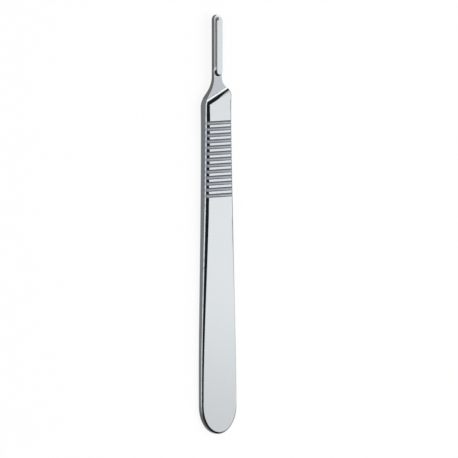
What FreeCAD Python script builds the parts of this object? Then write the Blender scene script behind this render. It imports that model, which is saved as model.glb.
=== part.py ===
import FreeCAD, Part
import math
import os

# A scalpel handle: one stainless steel forging that takes a detachable blade.
# It rests on its back, which is flat from the tail to the shoulders.
# +X runs along the handle to the blade end and +Z points out of the front face.
# The origin is the middle of the footprint, on the plane that the handle rests on.
# Lengths are millimetres and angles are degrees. A station is a distance measured
# back from the blade tip, and a side is 1 towards +Y and -1 towards -Y.

Vector = FreeCAD.Vector

# Overall form: widest and thinnest at the tail
total_length = 125.0
grip_end_station = 57.0
grip_width = 9.5
tail_width = 13.3
shoulder_height = 4.06
grip_end_height = 3.48
tail_height = 1.95
tail_round_length = 8.6

# Shoulders, where the grip narrows into the neck, and the start of the tail's flare
flare_station = 29.2
left_shoulder_station = 27.3
right_shoulder_station = 24.2
left_neck_station = 17.9
right_neck_station = 18.8
back_slope_station = 28.4
back_neck_station = 17.8

# Rounding along the long edges
grip_edge_radius = 1.05
tail_edge_radius = 0.6
neck_edge_radius = 0.3
edge_stops = (0.0, 0.1, 1.0)

# Blade tongue
tongue_width = 2.9
tongue_thickness = 1.38
tongue_rise = 1.1

# Diagonal shoulder that the back end of the blade rests against
shoulder_station = 23.0
shoulder_angle = 25.5
seat_depth = 0.92
shoulder_slope = 51.0
shoulder_top_radius = 2.1
shoulder_foot_radius = 0.2

# Boss that locks into the slot of the blade
boss_width = 2.1
boss_height = 0.9
boss_front_station = 0.6
boss_rear_station = 17.8
boss_nose_length = 1.0
boss_nose_lip = 0.12
boss_top_radius = 0.1
blade_gap = 0.57
blade_groove_depth = 0.3
blade_groove_end_station = 16.4
boss_flare = 0.6

# Grip grooves across both faces
groove_count = 13
groove_pitch = 1.8
first_groove_station = 32.1
groove_width = 1.2
groove_depth = 0.26

# Shares that give a curve its fullness
tail_side_bend, tail_end_bend = 0.6, 0.52
left_shoulder_bend, left_neck_bend = 0.4, 0.6
right_shoulder_bend, right_neck_bend = 0.42, 0.5
back_bend = 0.45
flare_start_bend, flare_end_bend = 0.25, 0.28
front_bend_start, front_bend_end = 0.15, 0.35

# How far a cutter reaches past the metal, and how near two points count as one
clear = 5.0
near = 1e-6


def x_at(station):
    return total_length / 2 - station


def station_at(x):
    return total_length / 2 - x


def tail_station():
    return total_length - tail_round_length


def between(value, start, end, first, last):
    return first + (last - first) * (value - start) / (end - start)


def front_height(station):
    return between(station, grip_end_station, shoulder_station, grip_end_height, shoulder_height)


def seat_height():
    return front_height(shoulder_station) - seat_depth


def tongue_back_height(station):
    rise = (shoulder_station - station) * math.tan(math.radians(tongue_rise))
    return seat_height() - tongue_thickness + rise


def raised(shape):
    # The tongue and its boss rise a little towards the tip, midway between the faces of the grip.
    foot = Vector(x_at(shoulder_station), 0, seat_height())
    shape.rotate(foot, Vector(0, 1, 0), -tongue_rise)
    return shape


# Drawing helpers
def line(start, end):
    return Part.LineSegment(start, end).toShape()


def arc(start, middle, end):
    return Part.Arc(start, middle, end).toShape()


def bezier(*poles):
    curve = Part.BezierCurve()
    curve.setPoles(list(poles))
    return curve.toShape()


def prism(edges, sweep):
    return Part.Face(Part.Wire(Part.__sortEdges__(edges))).extrude(sweep)


# Outline seen from the front
def shoulder_curve(start, end, shoulder_bend, neck_bend):
    run = Vector(end.x - start.x, 0)
    return bezier(start, start + run * shoulder_bend, end - run * neck_bend, end)


def flare_curve(start, end):
    # The stops along the flare hold the edge rounding to an even taper.
    run = Vector(end.x - start.x, 0)
    curve = Part.BezierCurve()
    curve.setPoles([start, start + run * flare_start_bend, end - run * flare_end_bend, end])
    return [curve.toShape(first, last) for first, last in zip(edge_stops, edge_stops[1:])]


def tail_curve(start, end):
    along = Vector((end.x - start.x) * tail_side_bend, 0)
    across = Vector(0, (start.y - end.y) * tail_end_bend)
    return bezier(start, start + along, end + across, end)


def side_edges(side, grip_station, neck_station, bends):
    tip = Vector(x_at(tongue_width / 2), side * tongue_width / 2)
    neck = Vector(x_at(neck_station), tip.y)
    shoulder = Vector(x_at(grip_station), side * grip_width / 2)
    flare = Vector(x_at(flare_station), shoulder.y)
    tail = Vector(x_at(tail_station()), side * tail_width / 2)
    edges = [line(tip, neck), shoulder_curve(shoulder, neck, *bends), line(shoulder, flare)]
    return edges + flare_curve(flare, tail) + [tail_curve(tail, Vector(x_at(total_length), 0))]


def plan_blank():
    half = tongue_width / 2
    tip = x_at(half)
    edges = [arc(Vector(tip, half), Vector(x_at(0), 0), Vector(tip, -half))]
    left_bends = (left_shoulder_bend, left_neck_bend)
    right_bends = (right_shoulder_bend, right_neck_bend)
    edges += side_edges(1, left_shoulder_station, left_neck_station, left_bends)
    edges += side_edges(-1, right_shoulder_station, right_neck_station, right_bends)
    return prism(edges, Vector(0, 0, front_height(-clear)))


# Outline seen from the side
def back_edges(y, tip, tail):
    # The stop at the end of the grip holds the edge rounding even along the grip.
    low = Vector(tail, y, 0)
    grip = Vector(x_at(grip_end_station), y, 0)
    start = Vector(x_at(back_slope_station), y, 0)
    end = Vector(x_at(back_neck_station), y, tongue_back_height(back_neck_station))
    tip_end = Vector(tip, y, tongue_back_height(station_at(tip)))
    along = Vector((end.x - start.x) * back_bend, 0, 0)
    reach = (tip_end - end) * (along.x / (tip_end.x - end.x))
    return [
        line(low, grip),
        line(grip, start),
        bezier(start, start + along, end - reach, end),
        line(end, tip_end),
    ]


def front_edges(y, tip, tail):
    high = Vector(tip, y, front_height(station_at(tip)))
    grip = Vector(x_at(grip_end_station), y, grip_end_height)
    end = Vector(x_at(total_length), y, tail_height)
    run = grip.x - end.x
    fall = (high.z - grip.z) / (high.x - grip.x) * run
    bend_start = grip - Vector(run, 0, fall) * front_bend_start
    bend_end = end + Vector(run, 0, 0) * front_bend_end
    return [line(high, grip), bezier(grip, bend_start, bend_end, end), line(end, Vector(tail, y, end.z))]


def side_blank():
    y, tip, tail = -tail_width, x_at(-clear), x_at(total_length + clear)
    back, front = back_edges(y, tip, tail), front_edges(y, tip, tail)
    tip_end = line(Vector(tip, y, tongue_back_height(-clear)), Vector(tip, y, front_height(-clear)))
    tail_end = line(Vector(tail, y, tail_height), Vector(tail, y, 0))
    return prism(back + [tip_end] + front + [tail_end], Vector(0, 2 * tail_width, 0))


# Rounding of the edges all round, tapering with the thickness
def edge_radius(station):
    stops = [
        (left_neck_station, neck_edge_radius),
        (left_shoulder_station, grip_edge_radius),
        (grip_end_station, grip_edge_radius),
        (tail_station(), tail_edge_radius),
    ]
    for (start, first), (end, last) in zip(stops, stops[1:]):
        if start <= station <= end:
            return between(station, start, end, first, last)
    return neck_edge_radius if station < left_neck_station else tail_edge_radius


def level_faces(blank, on_front):
    # A prism has its plan walls upright, so every other face is on its front or its back.
    side = 1 if on_front else -1
    faces = []
    for face in blank.Faces:
        first_u, last_u, first_v, last_v = face.ParameterRange
        normal = face.normalAt((first_u + last_u) / 2, (first_v + last_v) / 2)
        if normal.z * side > near:
            faces.append(face)
    return faces


def outline_loop(blank, on_front):
    faces = level_faces(blank, on_front)
    left = {}
    for number, edge in enumerate(blank.Edges, 1):
        if sum(edge.isSame(other) for face in faces for other in face.Edges) == 1:
            left[number] = (edge.valueAt(edge.FirstParameter), edge.valueAt(edge.LastParameter))
    number = min(left)
    start, end = left.pop(number)
    loop = [(number, start, end)]
    while left:
        for number, (first, last) in left.items():
            if first.isEqual(end, near) or last.isEqual(end, near):
                break
        first, last = left.pop(number)
        if last.isEqual(end, near):
            first, last = last, first
        loop.append((number, first, last))
        end = last
    return loop


def round_edges(blank):
    document = FreeCAD.newDocument("handle")
    base = document.addObject("Part::Feature", "Blank")
    base.Shape = blank
    rounding = document.addObject("Part::Fillet", "Rounding")
    rounding.Base = base
    rounding.Edges = [
        (number, edge_radius(station_at(start.x)), edge_radius(station_at(end.x)))
        for on_front in (True, False)
        for number, start, end in outline_loop(blank, on_front)
    ]
    document.recompute()
    return rounding.Shape


# Seat of the blade, with the diagonal shoulder at its back
def seat_cutter():
    turn = math.radians(shoulder_slope)
    top = front_height(shoulder_station)
    across, drop = math.sin(turn), 1 - math.cos(turn)
    foot_run, foot_rise = shoulder_foot_radius * across, shoulder_foot_radius * drop
    top_run, top_drop = shoulder_top_radius * across, shoulder_top_radius * drop
    wall_rise = top - seat_height() - foot_rise - top_drop
    wall_run = wall_rise / math.tan(turn)

    # Distances along the seat start at the foot of the shoulder.
    foot = Vector(0, 0, seat_height())
    wall_low = Vector(-foot_run, 0, seat_height() + foot_rise)
    wall_high = wall_low + Vector(-wall_run, 0, wall_rise)
    crown = wall_high + Vector(-top_run, 0, top_drop)
    half = turn / 2
    foot_middle = Vector(-shoulder_foot_radius * math.sin(half), 0, seat_height())
    foot_middle.z += shoulder_foot_radius * (1 - math.cos(half))
    crown_middle = crown + Vector(shoulder_top_radius * math.sin(half), 0, 0)
    crown_middle.z -= shoulder_top_radius * (1 - math.cos(half))
    far = total_length / 2
    behind = crown + Vector(-clear, 0, clear)
    profile = [
        line(Vector(far, 0, seat_height()), foot),
        arc(foot, foot_middle, wall_low),
        line(wall_low, wall_high),
        arc(wall_high, crown_middle, crown),
        line(crown, behind),
        line(behind, Vector(far, 0, behind.z)),
        line(Vector(far, 0, behind.z), Vector(far, 0, seat_height())),
    ]
    cutter = prism(profile, Vector(0, 2 * tail_width, 0))
    cutter.translate(Vector(0, -tail_width, 0))
    cutter.rotate(Vector(0, 0, 0), Vector(0, 0, 1), shoulder_angle)
    cutter.translate(Vector(x_at(shoulder_station), 0, 0))
    return raised(cutter)


# Boss
def slot_prism(front, rear, width, low, high):
    half = width / 2
    x_front, x_rear = x_at(front + half), x_at(rear - half)
    edges = [
        line(Vector(x_rear, half, low), Vector(x_front, half, low)),
        arc(Vector(x_front, half, low), Vector(x_front + half, 0, low), Vector(x_front, -half, low)),
        line(Vector(x_front, -half, low), Vector(x_rear, -half, low)),
        arc(Vector(x_rear, -half, low), Vector(x_rear - half, 0, low), Vector(x_rear, half, low)),
    ]
    return prism(edges, Vector(0, 0, high - low))


def nose_cutter(top):
    # The front of the boss slopes down from its top to a low lip over the groove.
    y = -boss_width
    high = Vector(x_at(boss_front_station + boss_nose_length), y, top)
    lip = Vector(x_at(boss_front_station), y, seat_height() + blade_gap + boss_nose_lip)
    ahead = high + (lip - high) * ((x_at(0) - high.x) / (lip.x - high.x))
    corners = [high, ahead, Vector(ahead.x, y, top + clear), Vector(high.x, y, top + clear), high]
    edges = [line(start, end) for start, end in zip(corners, corners[1:])]
    return prism(edges, Vector(0, 2 * boss_width, 0))


def blade_grooves():
    # A groove runs along both sides and round the front of the boss, down to a thinner web.
    low, high = seat_height(), seat_height() + blade_gap
    web_width = boss_width - 2 * blade_groove_depth
    web = slot_prism(boss_front_station + blade_groove_depth, boss_rear_station, web_width, low, high)
    corner = Vector(x_at(blade_groove_end_station), -boss_width, low)
    return Part.makeBox(blade_groove_end_station, 2 * boss_width, blade_gap, corner).cut(web)


def boss():
    top = seat_height() + boss_height
    root = seat_height() - tongue_thickness / 2
    stem = slot_prism(boss_front_station, boss_rear_station, boss_width, root, top)
    rims = [edge for edge in stem.Edges if abs(edge.BoundBox.ZMin - top) < near]
    stem = stem.makeFillet(boss_top_radius, rims).cut(nose_cutter(top)).cut(blade_grooves())
    centre = Vector(x_at(boss_rear_station - boss_width / 2), 0, seat_height())
    flare_top, flare_foot = boss_width / 2 - blade_groove_depth, boss_width / 2 + boss_flare
    return raised(stem.fuse(Part.makeCone(flare_foot, flare_top, boss_height, centre)))


# Grip grooves
def groove(station, on_front):
    radius = (groove_width ** 2 / 4 + groove_depth ** 2) / (2 * groove_depth)
    face = front_height(station) if on_front else 0
    outward = 1 if on_front else -1
    centre = face + outward * (radius - groove_depth)
    base = Vector(x_at(station), -tail_width, centre)
    return Part.makeCylinder(radius, 2 * tail_width, base, Vector(0, 1, 0))


def grooves():
    stations = [first_groove_station + number * groove_pitch for number in range(groove_count)]
    return [groove(station, on_front) for station in stations for on_front in (True, False)]


def handle():
    body = round_edges(plan_blank().common(side_blank()).Solids[0])
    body = body.cut(seat_cutter()).fuse(boss())
    return body.cut(grooves()).removeSplitter().Solids[0]


def main():
    os.makedirs("parts", exist_ok=True)
    handle().exportStep("parts/handle.step")


main()
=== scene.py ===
import math

import bmesh
import bpy
from mathutils import Matrix, Vector


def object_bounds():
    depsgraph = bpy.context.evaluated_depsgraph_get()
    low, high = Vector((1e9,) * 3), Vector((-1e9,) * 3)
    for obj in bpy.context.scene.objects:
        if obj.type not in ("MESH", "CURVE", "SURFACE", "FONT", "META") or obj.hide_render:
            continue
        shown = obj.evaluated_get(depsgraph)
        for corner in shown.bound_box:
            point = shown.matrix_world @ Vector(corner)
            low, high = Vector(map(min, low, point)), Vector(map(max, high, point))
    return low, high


# A stainless steel scalpel handle lies on its back on a pale floor, its blade end towards +X.
# Lengths are metres in the row frame, and angles are degrees. A pair is where a smooth change starts
# and ends. A slope is a part of the surface normal, so 1 in z faces up and 0 is upright.

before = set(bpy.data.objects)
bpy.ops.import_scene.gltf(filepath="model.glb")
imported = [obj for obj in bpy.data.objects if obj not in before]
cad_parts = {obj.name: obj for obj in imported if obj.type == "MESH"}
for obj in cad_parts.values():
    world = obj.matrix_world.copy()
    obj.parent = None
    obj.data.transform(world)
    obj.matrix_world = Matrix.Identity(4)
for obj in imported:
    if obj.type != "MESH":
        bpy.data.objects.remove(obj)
cad_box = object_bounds()

# Camera: it looks down on the handle from the +Y side, with the blade end up in the picture
picture_size = 458
view_turn = 38.0
view_tip = 4.2
view_roll = 0.731
pixels_per_metre = 3369.0
tip_in_picture = (210.58, 14.34)
camera_distance = 2.5
sensor_width = 36.0
clip_share = 4.0

# Light on anything matt: the level of the room, and a soft lamp behind the handle
studio_level = 0.66
lamp_power = 2.6
lamp_size = 0.6
lamp_place = (0.0, -0.35, 0.7)

# Room seen in the steel: levels, and the parts of the looking direction where one turns into another
horizon_level, horizon_tip_level, horizon_tail_level = 0.82, 1.15, 0.04
overhead_level, beside_level = 0.42, 0.6
overhead_height, horizon_tip_rise = (0.2, 0.28), 0.24
tip_side, tail_side = (0.7, 0.85), (-0.35, -0.6)
beside_front, beside_turn = (0.25, 0.4), (0.3, 0.4)

# Panel seen in the steel: its place, and the share of its level along it and at its foot
panel_level, panel_distance, panel_half_length = 0.895, 0.35, 0.2
panel_top, panel_foot = 60.0, -4.0
panel_tail_share, panel_tail_fade = 0.6, (-0.12, -0.075)
panel_grip_share, panel_grip_fade = 0.92, (0.01, -0.025)
panel_foot_share, panel_foot_fade = 1.2, (0.235, 0.285)

# Floor: its own colour, and the light that lifts it to white where it is looked at
floor_size = 6.0
floor_level, floor_lift = 0.12, 0.88

# Colours and finishes of the steel. The face and neck colours are its own; the groove, band, wall,
# tail and boss colours are painted shade and painted reflection, and the tongue is painted lighter as
# painted light.
face_colour = (0.84, 0.878, 0.9, 1.0)
painted_reflection_band_colour = (0.024, 0.029, 0.035, 1.0)
painted_reflection_wall_colour = (0.165, 0.183, 0.2, 1.0)
tail_painted_reflection_wall_colour, tail_painted_reflection_rim_colour = (0.1, 0.105, 0.112, 1.0), (0.035, 0.037, 0.04, 1.0)
painted_shade_groove_colour = (0.53, 0.57, 0.64, 1.0)
neck_colour, tongue_painted_light_colour = (0.51, 0.543, 0.58, 1.0), (1.0, 1.0, 1.0, 1.0)
painted_shade_boss_side_colour, painted_shade_boss_end_colour = (0.23, 0.23, 0.24, 1.0), (0.05, 0.05, 0.056, 1.0)
face_roughness, groove_roughness, seat_roughness = (0.14, 0.2), 0.3, 0.4
seat_metal = 0.2
grain_stretch, grain_detail = (60.0, 2500.0, 2500.0), 3.0
grain_strength, grain_depth = 0.05, 0.00002

# Side walls, painted darker as a painted reflection of the shaded floor: slopes that count as wall,
# and the darker painted wall round the end of the tail
wall_slope, back_slope = (0.36, 0.16), (-0.95, -0.99)
right_edge_slope, right_edge_share = (-0.12, -0.3), 0.9
right_edge_fade, right_edge_tail_share = (-0.03, 0.01), 0.6
tail_start, tail_wall_slope, tail_rim_slope = (-0.052, -0.0575), (0.97, 0.88), (0.3, 0.6)

# Dark band on the left edge and the crown of the shoulder, a painted reflection of the dark room
# overhead. The lean moves it across the edge.
band_top, band_foot, band_right = (0.9985, 0.99), (0.5, 0.58), (-0.1, 0.0)
lean_places, lean_levels = (-0.02, 0.02), (0.08, -0.05)
crown_front, crown_lift = (0.2, 0.4), 0.32
crown_lean, crown_right, crown_thinning = (0.0, 0.02), (0.001, -0.0035), 0.06
band_groove_share = 0.4

# Grooves, shoulder, tongue and boss, where the solid has them
first_groove, groove_pitch, groove_width, groove_count = 0.0304, 0.0018, 0.0012, 13
groove_core = 0.7
shoulder_place, shoulder_angle, shoulder_edge = 0.0395, 25.5, (-0.0001, 0.0002)
tongue_start, tongue_rise = (0.0435, 0.0455), 1.1
boss_foot, boss_side_slope = (0.0036, 0.0037), (0.9, 0.8)
boss_rear, boss_nose, boss_end_drop = (0.0466, 0.0456), (0.0604, 0.0611), 0.0004
# A small painted dark reflection at the nose of the boss
nose_mark_place, nose_mark_side, nose_mark_share = (0.0604, 0.061), (0.0001, 0.0005), 0.8


# Node helpers
def add(tree, kind, inputs=(), **settings):
    node = tree.nodes.new(kind)
    for name, value in settings.items():
        setattr(node, name, value)
    for key, value in dict(inputs).items():
        if isinstance(value, bpy.types.NodeSocket):
            tree.links.new(value, node.inputs[key])
        else:
            node.inputs[key].default_value = value
    return node


def maths(tree, operation, *values):
    return add(tree, "ShaderNodeMath", enumerate(values), operation=operation).outputs[0]


def product(tree, first, *others):
    for other in others:
        first = maths(tree, "MULTIPLY", first, other)
    return first


def ramp(tree, value, start, end, low=0.0):
    inputs = {"Value": value, "From Min": start, "From Max": end, "To Min": low}
    return add(tree, "ShaderNodeMapRange", inputs, interpolation_type="SMOOTHSTEP").outputs[0]


def between(tree, value, low, high):
    return add(tree, "ShaderNodeMapRange", {"Value": value, "To Min": low, "To Max": high}).outputs[0]


def blend(tree, factor, first, second):
    node = add(tree, "ShaderNodeMix", data_type="RGBA")
    for socket, value in ((node.inputs[0], factor), (node.inputs[6], first), (node.inputs[7], second)):
        if isinstance(value, bpy.types.NodeSocket):
            tree.links.new(value, socket)
        else:
            socket.default_value = value
    return node.outputs[2]


def grey(level):
    return (level, level, level, 1.0)


def new_material(name):
    material = bpy.data.materials.new(name)
    material.use_nodes = True
    material.node_tree.nodes.clear()
    return material


def finish_material(tree, shader):
    output = add(tree, "ShaderNodeOutputMaterial")
    tree.links.new(shader.outputs[0], output.inputs[0])


# Studio
def build_world():
    world = bpy.data.worlds.new("studio")
    bpy.context.scene.world = world
    world.use_nodes = True
    tree = world.node_tree
    tree.nodes.clear()
    direction = add(tree, "ShaderNodeTexCoord").outputs["Generated"]
    x, y, z = add(tree, "ShaderNodeSeparateXYZ", {0: direction}).outputs

    # The room is bright near the floor and duller overhead. Ahead of the blade end it is bright
    # higher up, and on either side of the camera the upper part is a little brighter too.
    ahead = ramp(tree, x, *tip_side)
    height = maths(tree, "SUBTRACT", z, product(tree, ahead, horizon_tip_rise))
    horizon = blend(tree, ramp(tree, x, *tail_side), grey(horizon_level), grey(horizon_tail_level))
    horizon = blend(tree, ahead, horizon, grey(horizon_tip_level))
    beside = product(tree, ramp(tree, y, *beside_front),
                     ramp(tree, maths(tree, "ABSOLUTE", x), *beside_turn))
    upper = blend(tree, beside, grey(overhead_level), grey(beside_level))
    mirrored = blend(tree, ramp(tree, height, *overhead_height), horizon, upper)

    path = add(tree, "ShaderNodeLightPath").outputs
    colour = blend(tree, path["Is Glossy Ray"], grey(studio_level), mirrored)
    straight = maths(tree, "MAXIMUM", path["Is Camera Ray"], path["Is Transmission Ray"])
    colour = blend(tree, straight, colour, grey(1.0))
    background = add(tree, "ShaderNodeBackground", {"Color": colour, "Strength": 1.0})
    output = add(tree, "ShaderNodeOutputWorld")
    tree.links.new(background.outputs[0], output.inputs[0])


def build_lamp():
    lamp = bpy.data.lights.new("soft_lamp", "AREA")
    lamp.shape = "SQUARE"
    lamp.size = lamp_size
    lamp.energy = lamp_power
    place = bpy.data.objects.new("soft_lamp", lamp)
    place.location = lamp_place
    place.rotation_euler = Vector(lamp_place).to_track_quat("Z", "Y").to_euler()
    place.visible_glossy = False
    bpy.context.scene.collection.objects.link(place)


def sheet(name, middle, side, up, material):
    # A flat sheet from its middle and two vectors, each half of a side
    place = Matrix((side, up, side.cross(up))).transposed().to_4x4()
    place.translation = middle
    shape = bmesh.new()
    bmesh.ops.create_grid(shape, x_segments=1, y_segments=1, size=1.0, matrix=place)
    mesh = bpy.data.meshes.new(name)
    shape.to_mesh(mesh)
    shape.free()
    mesh.materials.append(material)
    piece = bpy.data.objects.new(name, mesh)
    bpy.context.scene.collection.objects.link(piece)
    return piece


def panel_glow():
    material = new_material("panel")
    tree = material.node_tree
    place = add(tree, "ShaderNodeTexCoord").outputs["Object"]
    axes = add(tree, "ShaderNodeSeparateXYZ", {0: place}).outputs
    level = product(tree, panel_level, ramp(tree, axes["X"], *panel_tail_fade, low=panel_tail_share),
                    ramp(tree, axes["X"], *panel_grip_fade, low=panel_grip_share),
                    ramp(tree, axes["Z"], *panel_foot_fade, low=panel_foot_share))
    finish_material(tree, add(tree, "ShaderNodeEmission", {"Color": grey(1.0), "Strength": level}))
    return material


def build_panel():
    # A soft panel stands on the far side of the handle, seen only in the steel
    half_turn = math.radians(panel_top - panel_foot) / 2
    height = math.radians(panel_top + panel_foot) / 2
    middle = Vector((0, -math.cos(height), math.sin(height))) * panel_distance
    up = Vector((0, math.sin(height), math.cos(height))) * panel_distance * math.tan(half_turn)
    panel = sheet("panel", middle, Vector((panel_half_length, 0, 0)), up, panel_glow())
    panel.visible_camera = panel.visible_diffuse = panel.visible_shadow = False


def floor_paint():
    material = new_material("pale_floor")
    tree = material.node_tree
    path = add(tree, "ShaderNodeLightPath").outputs
    seen = maths(tree, "MAXIMUM", path["Is Camera Ray"], path["Is Glossy Ray"])
    seen = maths(tree, "MAXIMUM", seen, path["Is Transmission Ray"])
    surface = add(tree, "ShaderNodeBsdfPrincipled",
                  {"Base Color": grey(floor_level), "Roughness": 1.0, "Specular IOR Level": 0.0,
                   "Emission Color": grey(1.0), "Emission Strength": product(tree, seen, floor_lift)})
    finish_material(tree, surface)
    return material


def build_floor():
    half = floor_size / 2
    floor = sheet("floor", Vector(), Vector((half, 0, 0)), Vector((0, half, 0)), floor_paint())


# Camera
def build_camera():
    turn, tip, roll = (math.radians(a) for a in (view_turn, view_tip, view_roll))
    back = Vector((math.sin(tip), math.cos(tip) * math.sin(turn), math.cos(tip) * math.cos(turn)))
    right = Vector((0, -math.cos(turn), math.sin(turn)))
    up = back.cross(right)
    right, up = (right * math.cos(roll) - up * math.sin(roll),
                 right * math.sin(roll) + up * math.cos(roll))
    handle_tip = Vector((cad_box[1].x, 0, 0))
    across = (picture_size / 2 - tip_in_picture[0]) / pixels_per_metre
    down = (picture_size / 2 - tip_in_picture[1]) / pixels_per_metre
    target = handle_tip + right * across - up * down
    camera = bpy.data.cameras.new("camera")
    camera.sensor_width = sensor_width
    camera.lens = sensor_width * camera_distance * pixels_per_metre / picture_size
    camera.clip_end = clip_share * camera_distance
    place = bpy.data.objects.new("camera", camera)
    place.matrix_world = Matrix.Translation(target + back * camera_distance) @ Matrix(
        (right, up, back)).transposed().to_4x4()
    bpy.context.scene.collection.objects.link(place)
    bpy.context.scene.camera = place


# Steel. A mask is one where it holds and nought elsewhere.
def groove_mask(tree, x):
    # From the distance to the middle of the nearest groove
    half = groove_width / 2
    count = maths(tree, "DIVIDE", maths(tree, "SUBTRACT", first_groove, x), groove_pitch)
    nearest = product(tree, maths(tree, "PINGPONG", count, 0.5), groove_pitch)
    length = (groove_count - 1) * groove_pitch
    row = maths(tree, "COMPARE", x, first_groove - length / 2, length / 2 + half)
    return product(tree, row, ramp(tree, nearest, half, half * groove_core))


def blade_end_mask(tree, x, y):
    # Ahead of the diagonal shoulder
    ahead = maths(tree, "MULTIPLY_ADD", y, math.tan(math.radians(shoulder_angle)), x)
    start, end = shoulder_edge
    return ramp(tree, ahead, shoulder_place + start, shoulder_place + end)


def boss_mask(tree, x, z, ends):
    # On the head of the boss, and further down at its two ends
    slope = -math.tan(math.radians(tongue_rise))
    ahead = maths(tree, "SUBTRACT", x, shoulder_place)
    height = maths(tree, "MULTIPLY_ADD", ahead, slope, z)
    return ramp(tree, maths(tree, "MULTIPLY_ADD", ends, boss_end_drop, height), *boss_foot)


def leaning_slope(tree, x, up):
    levels = {"Value": x, "From Min": lean_places[0], "From Max": lean_places[1],
              "To Min": lean_levels[0], "To Max": lean_levels[1]}
    return maths(tree, "SUBTRACT", up, add(tree, "ShaderNodeMapRange", levels).outputs[0])


def painted_reflection_wall_mask(tree, x, left, up, leaning, tail):
    # Upright faces, the edge on the right, and the whole rim round the end of the tail, painted darker
    # as a painted reflection of the shaded floor
    back = ramp(tree, up, *back_slope)
    wall = maths(tree, "SUBTRACT", ramp(tree, leaning, *wall_slope), back)
    edge = product(tree, ramp(tree, left, *right_edge_slope), right_edge_share,
                   ramp(tree, x, *right_edge_fade, low=right_edge_tail_share))
    rim = product(tree, tail, maths(tree, "SUBTRACT", ramp(tree, up, *tail_wall_slope), back))
    return maths(tree, "MAXIMUM", maths(tree, "MAXIMUM", wall, edge), rim)


def painted_reflection_band_mask(tree, place, normal, leaning, groove, blade_end):
    # Where the edge rounds off on the left, and where the crown does towards the blade end, with a
    # small mark at the nose: a painted dark reflection
    x, y = place["X"], place["Y"]
    ahead, left, up = normal
    crown = ramp(tree, maths(tree, "SUBTRACT", ahead, left), *crown_lean)
    thinning = product(tree, ramp(tree, y, *crown_right), crown_thinning, crown)
    top = ramp(tree, maths(tree, "ADD", up, thinning), *band_top)
    smooth = maths(tree, "SUBTRACT", 1.0, groove)
    lift = product(tree, ramp(tree, ahead, *crown_front), crown_lift, smooth)
    foot = ramp(tree, maths(tree, "SUBTRACT", leaning, lift), *band_foot)
    painted_nose_mark = product(tree, ramp(tree, x, *nose_mark_place), ramp(tree, y, *nose_mark_side),
                   nose_mark_share)
    part = maths(tree, "MAXIMUM", painted_nose_mark, maths(tree, "SUBTRACT", 1.0, blade_end))
    return product(tree, top, foot, ramp(tree, left, *band_right),
                   between(tree, groove, 1.0, band_groove_share), part)


def steel():
    material = new_material("stainless_steel")
    tree = material.node_tree
    coordinates = add(tree, "ShaderNodeTexCoord").outputs
    place = add(tree, "ShaderNodeSeparateXYZ", {0: coordinates["Object"]}).outputs
    normal = add(tree, "ShaderNodeSeparateXYZ", {0: coordinates["Normal"]}).outputs
    x, y, z = place
    left, up = normal["Y"], normal["Z"]

    groove = groove_mask(tree, x)
    blade_end = blade_end_mask(tree, x, y)
    ends = maths(tree, "MAXIMUM", ramp(tree, x, *boss_rear), ramp(tree, x, *boss_nose))
    boss = product(tree, boss_mask(tree, x, z, ends), blade_end)
    seat = maths(tree, "SUBTRACT", blade_end, boss)
    tail = ramp(tree, x, *tail_start)
    leaning = leaning_slope(tree, x, up)
    band = painted_reflection_band_mask(tree, place, normal, leaning, groove, blade_end)
    wall = painted_reflection_wall_mask(tree, x, left, up, leaning, tail)

    # Painted shade in the grooves
    colour = blend(tree, groove, face_colour, painted_shade_groove_colour)
    # Painted dark reflection of the band on the left edge and the crown
    colour = blend(tree, band, colour, painted_reflection_band_colour)
    # Milled seat; the tongue is painted lighter than the neck, painted light against the boss's shadow
    milled = blend(tree, ramp(tree, x, *tongue_start), neck_colour, tongue_painted_light_colour)
    colour = blend(tree, seat, colour, milled)
    # Painted reflection of the shaded floor on the walls, darker round the end of the tail
    rim = blend(tree, ramp(tree, up, *tail_rim_slope), tail_painted_reflection_wall_colour, tail_painted_reflection_rim_colour)
    colour = blend(tree, wall, colour, blend(tree, tail, painted_reflection_wall_colour, rim))
    # Painted shade on the sides and ends of the boss
    painted_shade_boss_side = product(tree, boss, ramp(tree, up, *boss_side_slope))
    colour = blend(tree, painted_shade_boss_side, colour, blend(tree, ends, painted_shade_boss_side_colour, painted_shade_boss_end_colour))

    stretch = add(tree, "ShaderNodeMapping", {0: coordinates["Object"], "Scale": grain_stretch})
    grain = add(tree, "ShaderNodeTexNoise",
                {"Vector": stretch.outputs[0], "Scale": 1.0, "Detail": grain_detail}).outputs[0]
    roughness = between(tree, grain, *face_roughness)
    roughness = between(tree, groove, roughness, groove_roughness)
    roughness = between(tree, seat, roughness, seat_roughness)
    bump = add(tree, "ShaderNodeBump",
               {"Height": grain, "Strength": grain_strength, "Distance": grain_depth})
    surface = add(tree, "ShaderNodeBsdfPrincipled",
                  {"Base Color": colour, "Metallic": between(tree, seat, 1.0, seat_metal),
                   "Roughness": roughness, "Normal": bump.outputs[0]})
    finish_material(tree, surface)
    return material


def main():
    bpy.context.scene.view_settings.view_transform = "Standard"
    build_world()
    build_lamp()
    build_panel()
    build_floor()
    build_camera()
    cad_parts["handle"].material_slots[0].material = steel()


main()
